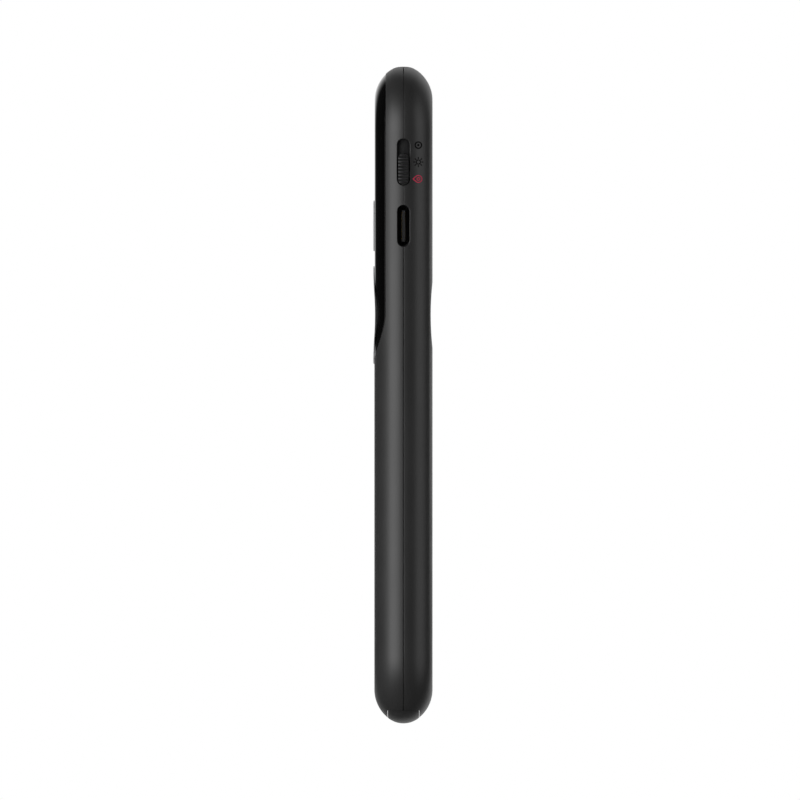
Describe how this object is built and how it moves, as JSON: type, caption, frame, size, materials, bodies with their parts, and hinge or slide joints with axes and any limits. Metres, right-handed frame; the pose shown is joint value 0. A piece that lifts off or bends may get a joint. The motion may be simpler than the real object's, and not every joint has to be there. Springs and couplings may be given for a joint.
{
  "type": "wireless presentation clicker",
  "caption": "Slim presentation clicker with pointer button, rocking nav ring, mode slider, charging port and a stowed plug-in receiver.",
  "frame": {"origin": "centre of the body's footprint on the surface that its back rests on", "axes": "+X out of the side with the slider and charging port, +Y to the tip with the laser, +Z out of the button face"},
  "size_m": [0.0288, 0.1399, 0.0127],
  "materials": {
    "shell": "matte soft-touch charcoal",
    "gloss_window": "gloss black",
    "button": "satin",
    "slider": "satin ribbed",
    "inner_plastic": "moulded",
    "light_pipe": "clear",
    "circuit_board": "solder mask",
    "chip": "moulded epoxy",
    "ceramic": "fine",
    "steel": "plated",
    "tongue": "moulded",
    "contact_gold": "gold plated",
    "laser_brass": "turned",
    "lens": "polished",
    "laser_glass": "polished",
    "battery_wrap": "foil pouch",
    "foam": "closed cell",
    "lead_red": "silicone",
    "lead_black": "silicone",
    "print_black": "pad print",
    "print_red": "pad print"
  },
  "bodies": {
    "housing": {"front_shell": "shell", "back_shell": "shell", "front_window": "gloss_window", "housing_screws": "steel", "nav_carrier": "inner_plastic", "light_pipe": "light_pipe", "main_board": "circuit_board", "board_chips": "chip", "antenna": "ceramic", "status_led": "ceramic", "switch_bases": "steel", "slide_switch_body": "steel", "usb_port_shell": "steel", "usb_port_tongue": "tongue", "usb_port_contacts": "contact_gold", "laser_barrel": "laser_brass", "laser_lens": "lens", "laser_leads": "contact_gold", "laser_bezel": "inner_plastic", "laser_window": "laser_glass", "battery_cell": "battery_wrap", "battery_foam": "foam", "battery_connector": "ceramic", "battery_lead_red": "lead_red", "battery_lead_black": "lead_black", "receiver_bay": "inner_plastic", "bay_magnet": "steel", "mode_marks": "print_black", "laser_mark": "print_red"},
    "pointer": {"pointer_button": "button", "pointer_switch_plunger": "inner_plastic"},
    "nav": {"nav_ring": "button", "nav_switch_plungers": "inner_plastic"},
    "centre": {"centre_button": "button", "centre_switch_plunger": "inner_plastic"},
    "slider": {"mode_slider": "slider", "slide_switch_lever": "inner_plastic"},
    "receiver": {"receiver_cap": "shell", "receiver_plug_shell": "steel", "receiver_insulator": "ceramic", "receiver_contacts": "contact_gold"}
  },
  "joints": [
    {"name": "pointer_press", "type": "slide", "parent": "housing", "child": "pointer", "axis": [0, 0, -1], "range_m": [0, 0.0003], "stiffness_N_per_m": 1000, "springref_m": -0.0002},
    {"name": "nav_rock", "type": "hinge", "parent": "housing", "child": "nav", "pos_m": [0, 0.017, 0.0086], "axis": [1, 0, 0], "range_deg": [-2.5, 2.5], "stiffness_Nm_per_rad": 0.11},
    {"name": "centre_press", "type": "slide", "parent": "housing", "child": "centre", "axis": [0, 0, -1], "range_m": [0, 0.0003], "stiffness_N_per_m": 1000, "springref_m": -0.0002},
    {"name": "mode_slide", "type": "slide", "parent": "housing", "child": "slider", "axis": [0, 1, 0], "range_m": [0, 0.003]},
    {"name": "receiver_slide", "type": "slide", "parent": "housing", "child": "receiver", "axis": [0, -1, 0], "range_m": [0, 0.015]}
  ]
}
